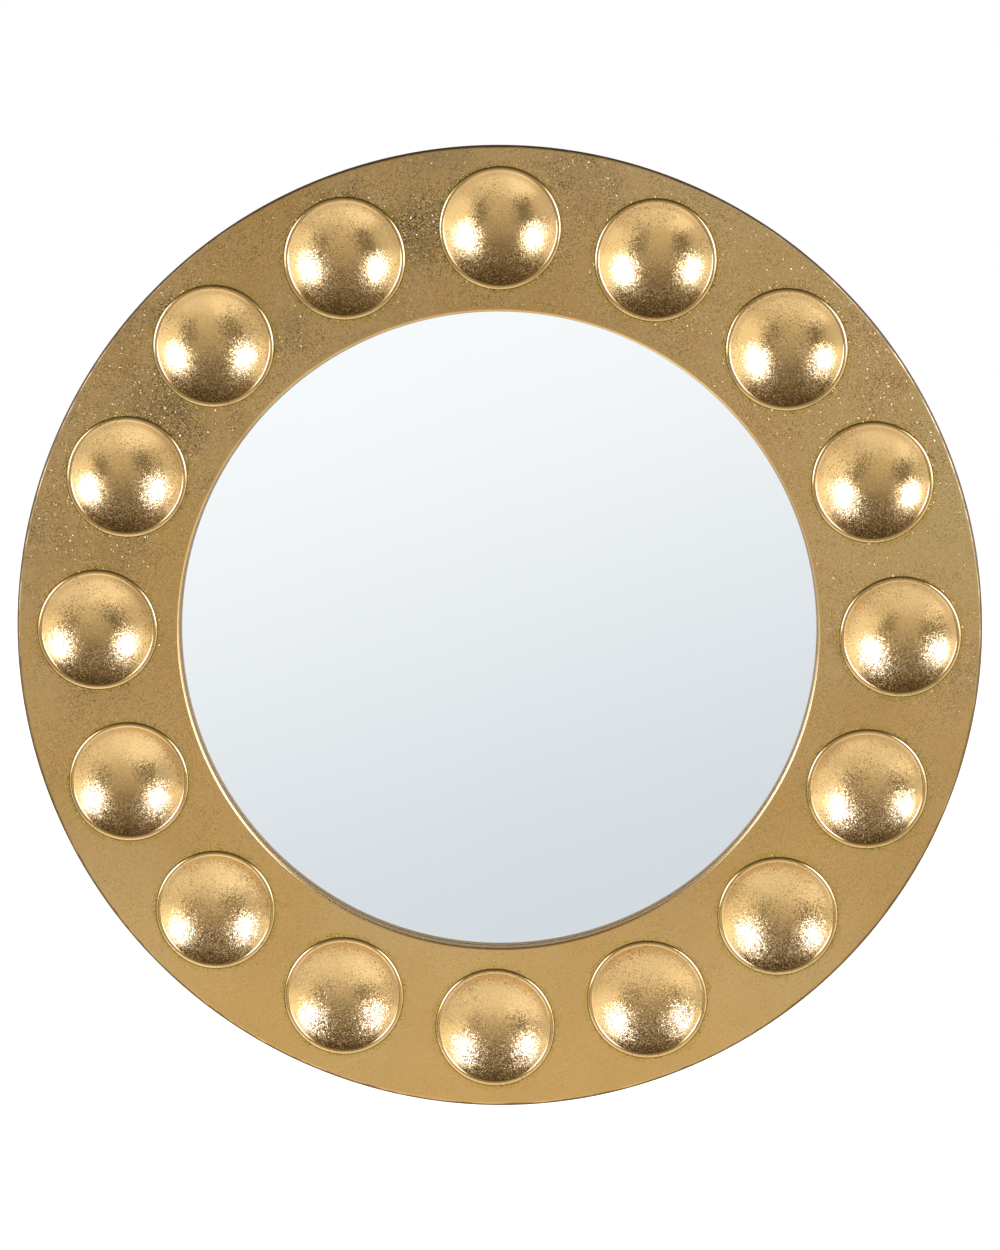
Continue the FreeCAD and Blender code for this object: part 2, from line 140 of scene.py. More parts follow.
class Finish:
    """A material or world under construction: short calls that add and join its nodes."""

    MIX_A, MIX_B, MIX_RESULT = 6, 7, 2

    def __init__(self, owner):
        owner.use_nodes = True
        self.tree = owner.node_tree
        self.tree.nodes.clear()

    def add(self, kind, settings=None, **inputs):
        node = self.tree.nodes.new(kind)
        for key, value in (settings or {}).items():
            setattr(node, key, value)
        for key, value in inputs.items():
            self.put(node.inputs[key.replace("_", " ")], value)
        return node

    def put(self, socket, value):
        if isinstance(value, bpy.types.NodeSocket):
            self.tree.links.new(value, socket)
        else:
            socket.default_value = value

    def math(self, operation, a, b=0.0, c=0.0, clamp=False):
        node = self.add("ShaderNodeMath", {"operation": operation, "use_clamp": clamp})
        for socket, value in zip(node.inputs, (a, b, c)):
            self.put(socket, value)
        return node.outputs[0]

    def times(self, product, *factors):
        for factor in factors:
            product = self.math("MULTIPLY", product, factor)
        return product

    def plus(self, a, b):
        return self.math("ADD", a, b)

    def less(self, a, b):
        return self.math("SUBTRACT", a, b)

    def most(self, a, b):
        return self.math("MAXIMUM", a, b)

    def size(self, value):
        """A value without its sign."""
        return self.math("ABSOLUTE", value)

    def vector(self, operation, a, b=(0.0, 0.0, 0.0)):
        node = self.add("ShaderNodeVectorMath", {"operation": operation})
        self.put(node.inputs[0], a)
        self.put(node.inputs[1], b)
        return node.outputs[0]

    def length(self, vector):
        return self.add("ShaderNodeVectorMath", {"operation": "LENGTH"}, Vector=vector).outputs["Value"]

    def along(self, vector, direction):
        """How far a vector reaches along a fixed direction."""
        node = self.add("ShaderNodeVectorMath", {"operation": "DOT_PRODUCT"}, Vector=vector)
        node.inputs[1].default_value = direction
        return node.outputs["Value"]

    def split(self, vector):
        return self.add("ShaderNodeSeparateXYZ", Vector=vector).outputs

    def join(self, x=0.0, y=0.0, z=0.0):
        return self.add("ShaderNodeCombineXYZ", X=x, Y=y, Z=z).outputs[0]

    def noise(self, coords, scale, detail=2.0, roughness=0.5, distortion=0.0):
        node = self.add("ShaderNodeTexNoise", Vector=coords, Scale=scale, Detail=detail,
                        Roughness=roughness, Distortion=distortion)
        return node.outputs["Fac"]

    def mapped(self, how, value, low, high, to_low, to_high):
        node = self.add("ShaderNodeMapRange", {"interpolation_type": how}, Value=value,
                        From_Min=low, From_Max=high, To_Min=to_low, To_Max=to_high)
        return node.outputs[0]

    def spread(self, value, low, high, to_low, to_high):
        """Straight map of a value from one range to another, held at its ends."""
        return self.mapped("LINEAR", value, low, high, to_low, to_high)

    def ease(self, value, low, high, to_low=0.0, to_high=1.0):
        """Smooth step of a value from low to high."""
        return self.mapped("SMOOTHSTEP", value, low, high, to_low, to_high)

    def fade(self, value, low, high, full=1.0):
        """Smooth step down to nought."""
        return self.ease(value, low, high, full, 0.0)

    def ramp(self, value, stops):
        """Colours along a value; each stop is a value, a level and a tint."""
        low, high = stops[0][0], stops[-1][0]
        node = self.add("ShaderNodeValToRGB", Fac=self.spread(value, low, high, 0.0, 1.0))
        elements = node.color_ramp.elements
        while len(elements) < len(stops):
            elements.new(0.5)
        for element, (place, level, tint) in zip(elements, stops):
            element.position = (place - low) / (high - low)
            element.color = (level * tint[0], level * tint[1], level * tint[2], 1.0)
        return node.outputs[0]

    def blend(self, factor, a, b, how="MIX"):
        node = self.add("ShaderNodeMix", {"data_type": "RGBA", "blend_type": how})
        self.put(node.inputs["Factor"], factor)
        for place, value in ((self.MIX_A, a), (self.MIX_B, b)):
            is_socket = isinstance(value, bpy.types.NodeSocket)
            self.put(node.inputs[place], value if is_socket else (*value, 1.0))
        return node.outputs[self.MIX_RESULT]

    def shaded(self, colour, level):
        """A colour times a level."""
        return self.blend(1.0, colour, self.join(level, level, level), "MULTIPLY")

    def bump(self, height, distance):
        return self.add("ShaderNodeBump", Height=height, Distance=distance, Strength=1.0).outputs[0]

    def coords(self, scale=(1, 1, 1)):
        source = self.add("ShaderNodeTexCoord").outputs["Object"]
        return self.add("ShaderNodeMapping", Vector=source, Scale=scale).outputs[0]

    def normal(self):
        return self.add("ShaderNodeNewGeometry").outputs["Normal"]

    def grains(self, coords, scale):
        """Three random numbers for each small grain of leaf."""
        return self.add("ShaderNodeTexVoronoi", Vector=coords, Scale=scale).outputs["Color"]

    def redrawn(self, numbers):
        """Three fresh random numbers for each grain."""
        return self.add("ShaderNodeTexWhiteNoise", Vector=numbers).outputs["Color"]

    def lean(self, numbers, amount):
        """A lean of the surface from random numbers."""
        either_way = self.vector("SUBTRACT", numbers, (0.5, 0.5, 0.5))
        node = self.add("ShaderNodeVectorMath", {"operation": "SCALE"}, Vector=either_way, Scale=amount)
        return node.outputs[0]

    def swells(self, coords, scale, amount, detail=1.0):
        """A slow lean of the surface from place to place."""
        waves = self.add("ShaderNodeTexNoise", Vector=coords, Scale=scale, Detail=detail).outputs["Color"]
        return self.lean(waves, amount)

    def leaning(self, *leans):
        """The surface normal with every lean added to it."""
        normal = self.normal()
        for lean in leans:
            normal = self.vector("ADD", normal, lean)
        return self.vector("NORMALIZE", normal)

    def path(self):
        return self.add("ShaderNodeLightPath").outputs

    def glow(self, colour, strength=1.0):
        return self.add("ShaderNodeEmission", Color=colour, Strength=strength).outputs[0]

    def either(self, factor, first, second):
        """One shader at a factor of nought and another at one."""
        node = self.add("ShaderNodeMixShader", Fac=factor)
        self.put(node.inputs[1], first)
        self.put(node.inputs[2], second)
        return node.outputs[0]

    def glow_or_clear(self, factor, glow):
        """A glow that is clear where the factor is nought."""
        return self.either(factor, self.add("ShaderNodeBsdfTransparent").outputs[0], glow)

    def show(self, shader):
        self.add("ShaderNodeOutputMaterial", Surface=shader)

    def surface(self, **inputs):
        self.show(self.add("ShaderNodeBsdfPrincipled", **inputs).outputs[0])


def new_finish(name):
    material = bpy.data.materials.new(name)
    return material, Finish(material)


def from_dish_axis(f, place):
    """Distance from the axis of the nearest dish: the ring is folded into one sector."""
    radius = f.length(f.join(x=place["X"], z=place["Z"]))
    half_step = math.pi / DISH_COUNT
    fold = f.math("WRAP", f.math("ARCTAN2", place["Z"], place["X"]), half_step, -half_step)
    outward = f.less(f.times(radius, f.math("COSINE", fold)), DISH_CIRCLE_R)
    across = f.times(radius, f.math("SINE", fold))
    return f.length(f.join(x=outward, y=across))


DISH_GRAIN, DISH_FINE_GRAIN = 1300, 1900
DISH_GRAIN_LEAN, DISH_FINE_LEAN, DISH_SWELL = 0.155, 0.05, 0.03
DISH_TONES = ((0.92, 0.585, 0.215), (0.97, 0.645, 0.250))
# Dark colour of the pits and of the painted shade at each lip's edge
DISH_PITS_AND_PAINTED_SHADE = (0.20, 0.105, 0.025)


def dish_gold():
    """Burnished leaf on the dishes: glossy, in fine grains that each lean their own way and sparkle."""
    material, f = new_finish("dish_gold_leaf")
    at = f.coords()
    place, facing = f.split(at), f.split(f.normal())
    away = from_dish_axis(f, place)
    patches = f.noise(at, 30, 2.0, 0.55)
    coarse = f.times(f.ease(patches, 0.30, 0.70, 0.80, 1.20),
                     f.spread(place["Z"], -0.36, 0.1, 1.5, 0.95),
                     f.fade(away, MOUTH_R - 0.0085, MOUTH_R - 0.0010))
    lower_half = f.times(f.ease(facing["Z"], 0.05, 0.40),
                         f.fade(away, MOUTH_R - 0.0015, MOUTH_R - 0.0003))
    upper_rim = f.times(f.ease(away, MOUTH_R - 0.0080, MOUTH_R - 0.0025),
                        f.fade(away, MOUTH_R - 0.0013, MOUTH_R - 0.0005),
                        f.fade(facing["Z"], -0.25, 0.30))

    grain = f.grains(at, DISH_GRAIN)
    numbers = f.split(grain)
    glint = f.ease(numbers["Z"], 0.88, 0.95, 1.0, 1.5)
    normal = f.leaning(f.lean(f.redrawn(grain), f.times(coarse, glint, DISH_GRAIN_LEAN)),
                       f.lean(f.grains(at, DISH_FINE_GRAIN), f.times(coarse, DISH_FINE_LEAN)),
                       f.swells(at, 48, DISH_SWELL))

    # Painted shade: grains in the dish's upward-facing lower half are darkened.
    lower_half_painted_shade = f.times(lower_half, f.fade(numbers["X"], 0.20, 0.30, 0.50))
    level = f.less(f.spread(numbers["Y"], 0.0, 1.0, 0.90, 1.03), lower_half_painted_shade)
    tone = f.shaded(f.blend(f.noise(at, 14, 3.0, 0.6), *DISH_TONES), level)
    pits = f.times(f.ease(numbers["X"], 0.88, 0.92), f.ease(patches, 0.38, 0.58))
    # Painted shade: a dark line on the lip's outer edge where the dish meets the ring; the pits are the
    # leaf's own.
    lip_edge_painted_shade = f.ease(away, LIP_R - 0.0005, LIP_R - 0.0001)
    colour = f.blend(f.times(f.most(pits, lip_edge_painted_shade), 0.7), tone, DISH_PITS_AND_PAINTED_SHADE)

    dull = f.times(f.fade(numbers["Y"], 0.13, 0.20, 0.26), f.times(coarse, coarse))
    flecks = f.times(lower_half, f.ease(numbers["Y"], 0.70, 0.78, 0.0, 0.34))
    rough = f.plus(f.spread(patches, 0.3, 0.7, 0.085, 0.12),
                   f.most(f.most(dull, flecks), f.times(upper_rim, 0.28)))
    f.surface(Base_Color=colour, Metallic=1.0, Roughness=rough, Normal=normal,
              Coat_Weight=0.7, Coat_IOR=1.5, Coat_Roughness=0.08, Coat_Normal=normal)
    return material


# Worn spots of the ring: angle in degrees, distance from the middle, radius and depth of wear
WORN_SPOTS = (
    (101, 0.335, 0.050, 0.85),
    (146, 0.330, 0.060, 0.80),
    (168, 0.325, 0.045, 0.40),
    (124, 0.300, 0.030, 0.35),
    (79, 0.375, 0.040, 0.35),
    (33, 0.372, 0.035, 0.25),
    (188, 0.340, 0.040, 0.25),
)
RING_GRAIN, RING_FINE_GRAIN = 1150, 1700
RING_GRAIN_LEAN, RING_FINE_LEAN, RING_SWELL = 0.14, 0.08, 0.10
RING_TONES = ((0.94, 0.585, 0.205), (0.97, 0.645, 0.260))
# Colours of the painted light on the upper right, of bright specks that are partly painted glints, and of
# pits and painted shade
RING_PAINTED_LIGHT = (1.0, 0.69, 0.32)
RING_SPECK_AND_PAINTED_GLINT = (1.0, 0.69, 0.28)
RING_PITS_AND_PAINTED_SHADE = (0.12, 0.07, 0.02)
LACQUER_OLIVE = (0.76, 0.53, 0.085)
PAINTED_LIGHT_SIDE_DEGREES = 40


def worn_leaf(f, flat, height, blotch, ragged):
    """How far the leaf is worn: faint blotches on the upper half, and the worn spots with ragged edges."""
    worn = f.times(f.ease(blotch, 0.52, 0.70, 0.0, 0.5), f.ease(height, -0.28, 0.05))
    for degrees, out, size, depth in WORN_SPOTS:
        away = f.plus(f.length(f.vector("SUBTRACT", flat, around(out, degrees))), ragged)
        worn = f.most(worn, f.fade(away, 0.1 * size, size, depth))
    return worn


def without_leaf(f, place, radius, blotch):
    """One on the ring's back and inside its rebate, where the board is bare."""
    uneven = f.spread(blotch, 0.3, 0.7, -0.0003, 0.0003)
    behind = f.ease(f.plus(place["Y"], uneven), RING_BACK_Y - 0.0012, RING_BACK_Y - 0.0004)
    inside = f.times(f.fade(radius, REBATE_R + 0.0002, REBATE_R + 0.0006),
                     f.ease(place["Y"], SHOULDER_Y - 0.0006, SHOULDER_Y - 0.0002))
    return f.most(behind, inside)


def bare_board(f, at):
    """The ring's own board: pale fibres with darker stains."""
    board = f.blend(f.noise(at, 420, 3.0, 0.7), (0.30, 0.19, 0.10), (0.43, 0.29, 0.165))
    stain = f.ease(f.noise(at, 9, 3.0, 0.6), 0.45, 0.75, 0.0, 0.35)
    return f.blend(stain, board, (0.22, 0.135, 0.07))


def ring_gold():
    """Satin leaf on the ring: speckled grain with some painted glints, worn spots, an olive lacquer line
    around each dish, painted shade at the top, around the lips and on the outer edge, and painted light on
    the upper right.
    """
    material, f = new_finish("ring_gold_leaf")
    at = f.coords()
    place = f.split(at)
    flat = f.join(x=place["X"], z=place["Z"])
    radius = f.length(flat)
    from_dish = from_dish_axis(f, place)

    blotch = f.noise(at, 15, 4.0, 0.62)
    ragged = f.spread(f.noise(at, 45, 4.0, 0.65), 0.25, 0.75, -0.024, 0.024)
    worn = worn_leaf(f, flat, place["Z"], blotch, ragged)
    wander = f.spread(f.noise(at, 75, 2.0, 0.6), 0.25, 0.75, -0.0022, 0.0030)
    lacquer = f.fade(f.plus(from_dish, wander), LIP_R + 0.0004, LIP_R + 0.0055)

    coarse = f.plus(f.plus(f.spread(place["Z"], -0.36, 0.15, 0.25, 0.95), worn), f.times(lacquer, 0.45))
    inside_edges = f.times(f.ease(radius, OPENING_R + 0.001, OPENING_R + 0.004),
                           f.fade(radius, RING_R - 0.005, RING_R - 0.002))
    below_face = f.ease(place["Y"], RING_FACE_Y + 0.003, RING_FACE_Y + 0.005)
    coarse = f.times(coarse, f.most(inside_edges, below_face))
    grain = f.grains(at, RING_GRAIN)
    numbers = f.split(grain)
    glint = f.ease(numbers["Z"], 0.84, 0.92, 1.0, 3.1)
    normal = f.leaning(f.lean(f.redrawn(grain), f.times(coarse, glint, RING_GRAIN_LEAN)),
                       f.lean(f.grains(at, RING_FINE_GRAIN), f.times(coarse, RING_FINE_LEAN)),
                       f.swells(at, 11, RING_SWELL, 2.0))

    # Painted light: the ring is paler and lighter towards the upper right.
    pale = f.ease(f.along(flat, around(1.0, PAINTED_LIGHT_SIDE_DEGREES)), 0.16, 0.36)
    tone = f.blend(f.ease(f.noise(at, 6, 3.0, 0.6), 0.35, 0.65), *RING_TONES)
    tone = f.blend(f.times(pale, 0.35), tone, RING_PAINTED_LIGHT)
    tone = f.blend(f.times(lacquer, 0.55), tone, LACQUER_OLIVE)
    # Painted shade: the leaf is darker towards the top, and the worn spots darker still; the next line adds
    # painted light on the upper right.
    level = f.less(f.spread(place["Z"], -0.3, 0.36, 1.03, 0.92), f.times(worn, 0.36))
    level = f.plus(level, f.times(pale, 0.15))
    # Bright specks are lighter grains of leaf and partly painted glints; dim specks are darker grains.
    sown = f.times(coarse, f.ease(f.noise(at, 38, 3.0, 0.65), 0.38, 0.62, 0.45, 1.35))
    bright = f.math("MULTIPLY", f.ease(numbers["Y"], 0.80, 0.88, 0.0, 0.65), sown, clamp=True)
    dim = f.math("MULTIPLY", f.fade(numbers["Y"], 0.14, 0.22, 0.32), sown, clamp=True)
    tone = f.shaded(tone, f.times(level, f.less(1.0, dim)))
    tone = f.blend(bright, tone, RING_SPECK_AND_PAINTED_GLINT)

    pits = f.times(f.ease(numbers["X"], 0.93, 0.96), f.math("ADD", worn, lacquer, clamp=True))
    # Painted shade: a dark line on the ring around each dish's lip, and a dark band on the front of the outer
    # edge, which is also rougher; the pits are the leaf's own.
    lip_contact_painted_shade = f.fade(from_dish, LIP_R + 0.0001, LIP_R + 0.0008)
    outer_edge_painted_shade = f.times(f.ease(f.plus(radius, f.times(ragged, 0.03)), RING_R - 0.0028, RING_R - 0.0017),
                     f.fade(place["Y"], RING_FACE_Y + 0.002, RING_FACE_Y + 0.004))
    pits_and_painted_shade = f.most(f.times(pits, 0.6), f.times(f.most(lip_contact_painted_shade, outer_edge_painted_shade), 0.85))
    tone = f.blend(pits_and_painted_shade, tone, RING_PITS_AND_PAINTED_SHADE)

    bare = without_leaf(f, place, radius, blotch)
    rough = f.plus(f.spread(blotch, 0.3, 0.7, 0.21, 0.29),
                   f.times(f.most(bare, f.times(outer_edge_painted_shade, 0.4)), 0.5))
    f.surface(Base_Color=f.blend(bare, tone, bare_board(f, at)), Metallic=f.less(1.0, bare),
              Roughness=rough, Normal=normal)
    return material


def mirror_silver():
    """Silvered glass: a clean mirror with a faint film."""
    material, f = new_finish("silvered_mirror")
    film = f.noise(f.coords(), 7, 4.0, 0.6)
    f.surface(Base_Color=f.blend(film, (0.93, 0.955, 0.96), (0.95, 0.97, 0.975)), Metallic=1.0,
              Roughness=f.spread(film, 0.3, 0.7, 0.0, 0.003))
    return material


def backing_board():
    """Brown fibreboard with fine fibres."""
    material, f = new_finish("brown_fibreboard")
    fibre = f.noise(f.coords((900, 900, 160)), 1.0, 4.0, 0.65, 1.5)
    tone = f.blend(f.noise(f.coords(), 8, 3.0, 0.6), (0.19, 0.105, 0.05), (0.25, 0.145, 0.07))
    tone = f.blend(f.ease(fibre, 0.5, 0.75, 0.0, 0.55), tone, (0.36, 0.23, 0.12))
    f.surface(Base_Color=tone, Roughness=f.spread(fibre, 0.3, 0.7, 0.55, 0.8), Normal=f.bump(fibre, 0.0001))
    return material


STAIN_SHADE = 0.72


def zinc_steel(name, colour, direction):
    """Plated steel with rolling lines along one direction and faint stains."""
    material, f = new_finish(name)
    stain = f.noise(f.coords(), 160, 3.0, 0.6)
    lines = f.noise(f.coords(direction), 1.0, 2.0, 0.5)
    tone = f.blend(f.ease(stain, 0.35, 0.7), colour, tuple(c * STAIN_SHADE for c in colour))
    rough = f.plus(f.spread(lines, 0.3, 0.7, 0.24, 0.36), f.spread(stain, 0.3, 0.7, 0.0, 0.08))
    f.surface(Base_Color=tone, Metallic=1.0, Roughness=rough, Normal=f.bump(lines, 0.00001))
    return material


def dark_rubber():
    """Dark rubber with a fine matt grain."""
    material, f = new_finish("bumper_rubber")
    fine = f.noise(f.coords(), 1800, 2.0, 0.6)
    tone = f.blend(f.noise(f.coords(), 60, 2.0, 0.5), (0.028, 0.027, 0.026), (0.05, 0.048, 0.046))
    f.surface(Base_Color=tone, Roughness=f.spread(fine, 0.3, 0.7, 0.6, 0.8), Normal=f.bump(fine, 0.00004))
    return material


def foam_tape():
    """Black foam with fine cells."""
    material, f = new_finish("black_foam_tape")
    cells = f.noise(f.coords(), 2600, 2.0, 0.7)
    tone = f.blend(cells, (0.012, 0.012, 0.012), (0.04, 0.04, 0.04))
    f.surface(Base_Color=tone, Roughness=0.9, Normal=f.bump(cells, 0.0001))
    return material


def adhesive():
    """Set adhesive, straw-coloured and lumpy."""
    material, f = new_finish("set_adhesive")
    lumps = f.noise(f.coords(), 240, 3.0, 0.6)
    tone = f.blend(lumps, (0.62, 0.54, 0.34), (0.74, 0.66, 0.45))
    f.surface(Base_Color=tone, Roughness=f.spread(lumps, 0.3, 0.7, 0.35, 0.55), Normal=f.bump(lumps, 0.0003))
    return material


def finished(name, shape, material):
    """Makes an object of a bmesh, smooth but for its real edges."""
    for face in shape.faces:
        face.smooth = True
    mesh = bpy.data.meshes.new(name)
    shape.to_mesh(mesh)
    shape.free()
    mesh.set_sharp_from_angle(angle=SHARP_ANGLE)
    mesh.materials.append(material)
    piece = bpy.data.objects.new(name, mesh)
    bpy.context.scene.collection.objects.link(piece)
    return piece


class Section:
    """Half of a turned piece's section: a line in the XY plane, drawn from point to point."""

    HOLD = 0.0003

    def __init__(self, x, y):
        self.shape = bmesh.new()
        self.tip = self.shape.verts.new((x, y, 0))

    def point(self, place):
        self.tip = bmesh.ops.extrude_vert_indiv(self.shape, verts=[self.tip])["verts"][0]
        self.tip.co = place

    def line(self, x, y):
        """Straight line to a point, with a short step at both ends of a long one that keeps it flat."""
        start, end = self.tip.co.copy(), Vector((x, y, 0))
        step = (end - start).normalized() * self.HOLD
        if (end - start).length > 8 * self.HOLD:
            self.point(start + step)
            self.point(end - step)
        self.point(end)

    def arc(self, x, y, degrees, steps):
        """Arc about a centre, counted from +X towards +Y."""
        made = bmesh.ops.spin(self.shape, geom=[self.tip], cent=(x, y, 0), axis=(0, 0, 1),
                              angle=math.radians(degrees), steps=steps)
        self.tip = [item for item in made["geom_last"] if isinstance(item, bmesh.types.BMVert)][0]

    def turned(self, steps):
        """The whole piece, turned about the Y axis."""
        shape = self.shape
        bmesh.ops.spin(shape, geom=shape.verts[:] + shape.edges[:], cent=(0, 0, 0), axis=(0, 1, 0),
                       angle=2 * math.pi, steps=steps, use_merge=True)
        bmesh.ops.remove_doubles(shape, verts=shape.verts[:], dist=MERGE_DISTANCE)
        bmesh.ops.recalc_face_normals(shape, faces=shape.faces[:])
        return shape


def drilled(piece, holes):
    """Takes round holes along Y out of a piece; each is its mouth, radius, signed depth and steps around."""
    shape = bmesh.new()
    for mouth, radius, depth, steps in holes:
        overrun = math.copysign(DRILL_OVERRUN, depth)
        middle = mouth + Vector((0, (depth - overrun) / 2, 0))
        bmesh.ops.create_cone(shape, cap_ends=True, segments=steps, radius1=radius, radius2=radius,
                              depth=abs(depth + overrun),
                              matrix=Matrix.Translation(middle) @ Matrix.Rotation(math.radians(90), 4, "X"))
    mesh = bpy.data.meshes.new("drill")
    shape.to_mesh(mesh)
    shape.free()
    drill = bpy.data.objects.new("drill", mesh)
    bpy.context.scene.collection.objects.link(drill)
    cut = piece.modifiers.new("drilled", "BOOLEAN")
    cut.operation = "DIFFERENCE"
    cut.solver = "EXACT"
    cut.object = drill
    whole = piece.evaluated_get(bpy.context.evaluated_depsgraph_get())
    piece.data = bpy.data.meshes.new_from_object(whole)
    piece.modifiers.clear()
    piece.data.set_sharp_from_angle(angle=SHARP_ANGLE)
    bpy.data.objects.remove(drill)


def ring_holes():
    """The ring's pockets for the dishes, and its pilot holes for the screws of clips and straps."""
    face = Vector((0, RING_FACE_Y, 0))
    holes = [(centre + face, POCKET_R, POCKET_DEPTH, POCKET_STEPS) for centre in DISH_CENTRES]
    pilots = [around(CLIP_SCREW_CIRCLE_R, SECTOR * sector, RING_BACK_Y) for sector in CLIP_SECTORS]
    for side in ("left", "right"):
        low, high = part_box(f"hanger_strap_{side}")
        pilots += [Vector(((low[0] + high[0]) / 2, RING_BACK_Y, low[2] + rise)) for rise in STRAP_SCREW_RISES]
    return holes + [(mouth, PILOT_R, -PILOT_DEPTH, PILOT_STEPS) for mouth in pilots]


def turned_ring(material):
    """The wide ring: rounded edges, a lip before the glass, a rebate behind it, pockets and pilot holes."""
    section = Section(OPENING_R, SHOULDER_Y)
    section.line(OPENING_R, RING_FACE_Y + OPENING_ROUND)
    section.arc(OPENING_R + OPENING_ROUND, RING_FACE_Y + OPENING_ROUND, 90, OPENING_ROUND_STEPS)
    section.line(RING_R - OUTER_ROUND, RING_FACE_Y)
    section.arc(RING_R - OUTER_ROUND, RING_FACE_Y + OUTER_ROUND, 90, OUTER_ROUND_STEPS)
    section.line(RING_R, RING_BACK_Y - BACK_ROUND)
    section.arc(RING_R - BACK_ROUND, RING_BACK_Y - BACK_ROUND, 90, BACK_ROUND_STEPS)
    section.line(REBATE_R + BACK_ROUND, RING_BACK_Y)
    section.arc(REBATE_R + BACK_ROUND, RING_BACK_Y - BACK_ROUND, 90, BACK_ROUND_STEPS)
    section.line(REBATE_R, SHOULDER_Y)
    section.line(OPENING_R, SHOULDER_Y)
    piece = finished("turned_ring", section.turned(RING_STEPS), material)
    drilled(piece, ring_holes())
    return piece


def spun_dish(name, centre, material):
    """Spun dish: a low crowned lip that runs into a spherical hollow, with its sheet behind it."""
    crown_y = LIP_Y + LIP_CROWN_R
    between_centres = HOLLOW_R + LIP_CROWN_R
    crown_x = math.sqrt(between_centres ** 2 - (crown_y - HOLLOW_CENTRE_Y) ** 2)
    inner = math.degrees(math.asin(crown_x / between_centres))
    outer = math.degrees(math.asin((LIP_R - crown_x) / LIP_CROWN_R))
    section = Section(SHELL_MOUTH_R, RING_FACE_Y)
    section.point((LIP_R, RING_FACE_Y, 0))
    section.point((LIP_R, crown_y - LIP_CROWN_R * math.cos(math.radians(outer)), 0))
    section.arc(crown_x, crown_y, -outer - inner, CROWN_STEPS)
    section.arc(0, HOLLOW_CENTRE_Y, inner, HOLLOW_STEPS)
    section.point((0, HOLLOW_CENTRE_Y + SHELL_R, 0))
    section.arc(0, HOLLOW_CENTRE_Y, -math.degrees(math.asin(SHELL_MOUTH_R / SHELL_R)), SHELL_STEPS)
    shape = section.turned(DISH_STEPS)
    bmesh.ops.translate(shape, verts=shape.verts[:], vec=centre)
    return finished(name, shape, material)


def dress(node, material):
    """Gives a carried-over node its finish."""
    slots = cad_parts[node].data.materials
    slots.clear()
    slots.append(material)


def stand_in(piece, node):
    """Sets a new piece in the place of a node of the fixed frame."""
    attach(piece, "frame")
    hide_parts(node)


gold = dish_gold()
stand_in(turned_ring(ring_gold()), "frame_ring")
for index, centre in enumerate(DISH_CENTRES):
    number = f"{index + 1:02d}"
    stand_in(spun_dish(f"spun_dish_{number}", centre, gold), f"dish_{number}")

hanger_zinc = zinc_steel("hanger_zinc", (0.62, 0.62, 0.60), (1800, 1800, 120))
screw_zinc = zinc_steel("screw_zinc", (0.74, 0.71, 0.62), (1500, 300, 1500))
rubber = dark_rubber()
dress("mirror_glass", mirror_silver())
dress("backing_panel", backing_board())
dress("glass_gasket", foam_tape())
dress("dish_glue_pads", adhesive())
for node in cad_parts:
    if node.endswith("_screws"):
        dress(node, screw_zinc)
    elif node.startswith(("panel_clip", "hanger_strap", "hanger_ring")):
        dress(node, hanger_zinc)
    elif node.startswith("wall_bumper"):
        dress(node, rubber)


CORNERS = ((-1, -1), (1, -1), (1, 1), (-1, 1))


def plane(name, corners, material):
    """A flat stage piece through four corners."""
    shape = bmesh.new()
    shape.faces.new([shape.verts.new(corner) for corner in corners])
    piece = finished(name, shape, material)
    return piece


def reflected_only(piece):
    """Hides a stage piece from all but reflections."""
    piece.visible_camera = False
    piece.visible_diffuse = False
    piece.visible_shadow = False


def first_mirrored(f):
    """One where the glass is seen straight from the camera, and nought in every other reflection."""
    path = f.path()
    return f.times(path["Is Singular Ray"], f.math("LESS_THAN", path["Ray Depth"], 1.5))


# The floor as the gold shows it: distance from the mirror's foot, level and tint
FLOOR_COOL, FLOOR_PLAIN = (0.99, 1.0, 1.05), (1.0, 0.97, 0.92)
FLOOR_GLOW = (
    (0.0, 0.70, FLOOR_COOL),
    (0.2, 0.81, FLOOR_COOL),
    (0.5, 0.90, FLOOR_COOL),
    (0.85, 0.87, FLOOR_COOL),
    (1.2, 0.76, FLOOR_COOL),
    (1.75, 0.64, FLOOR_PLAIN),
    (2.8, 0.58, FLOOR_PLAIN),
    (5.7, 0.53, FLOOR_PLAIN),
    (8.0, 0.46, FLOOR_PLAIN),
)
LEFT_POOL = (1.08, 1.10, 1.18)
LEFT_POOL_BEARING, LEFT_POOL_DISTANCE = -0.85, 1.05
FAR_RIGHT, FAR_LEFT = (1.0, 1.0, 0.99), (0.68, 0.68, 0.67)

# Dim floor behind the lamp stands: bearing in radians, half widths where it is full and gone, and level
LAMP_STANDS = ((-0.61, 0.10, 0.30, 0.22), (0.47, 0.06, 0.24, 0.26))


